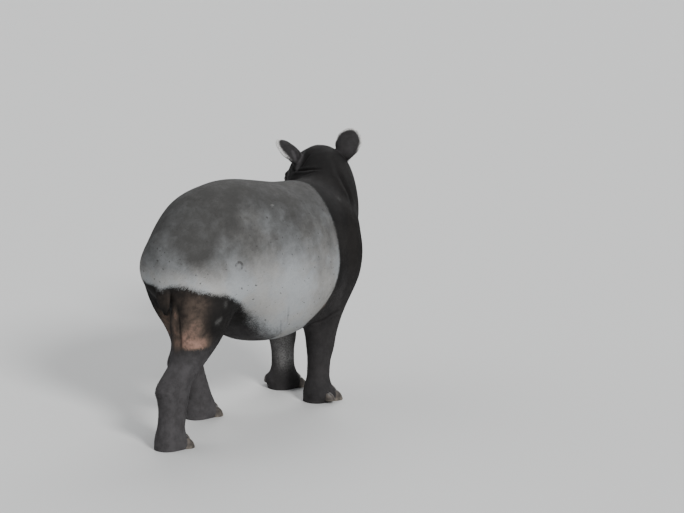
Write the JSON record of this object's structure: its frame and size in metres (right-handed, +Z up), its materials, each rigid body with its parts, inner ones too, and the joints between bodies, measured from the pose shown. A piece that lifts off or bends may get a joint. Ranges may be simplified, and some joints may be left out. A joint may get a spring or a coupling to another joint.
{
  "type": "malayan tapir",
  "caption": "Life-size Malayan tapir standing in mid-stride, head turned to its left: black forequarters and legs, pale grey saddle, short drooping trunk, white-rimmed ears",
  "frame": {"origin": "centre of the bottom of the whole animal's bounding box, on the floor", "axes": "+Z up; the animal faces -Y, so +Y runs from its snout to its rump; its left side is +X"},
  "size_m": [0.7521, 1.5185, 1.035],
  "materials": {
    "saddle": "short sleek coat, pale grey",
    "black": "short sleek coat, brown-black",
    "ear": "thin skin with very short hair, pale rim",
    "eye": "wet and glossy",
    "hoof": "worn horn, slightly glossy"
  },
  "bodies": {
    "root": {"ear_left": "ear", "ear_right": "ear", "eye_left": "eye", "eye_right": "eye", "fore_left_foot": "black", "fore_left_hoof_1": "hoof", "fore_left_hoof_2": "hoof", "fore_left_hoof_3": "hoof", "fore_left_hoof_4": "hoof", "fore_left_lower": "black", "fore_left_upper": "black", "fore_right_foot": "black", "fore_right_hoof_1": "hoof", "fore_right_hoof_2": "hoof", "fore_right_hoof_3": "hoof", "fore_right_hoof_4": "hoof", "fore_right_lower": "black", "fore_right_upper": "black", "head": "black", "hind_left_foot": "black", "hind_left_hoof_1": "hoof", "hind_left_hoof_2": "hoof", "hind_left_hoof_3": "hoof", "hind_left_lower": "black", "hind_left_upper": "black", "hind_right_foot": "black", "hind_right_hoof_1": "hoof", "hind_right_hoof_2": "hoof", "hind_right_hoof_3": "hoof", "hind_right_lower": "black", "hind_right_upper": "black", "jaw": "black", "neck": "black", "shoulders": "black", "snout": "black", "tail": "black", "torso": "saddle"}
  },
  "joints": []
}
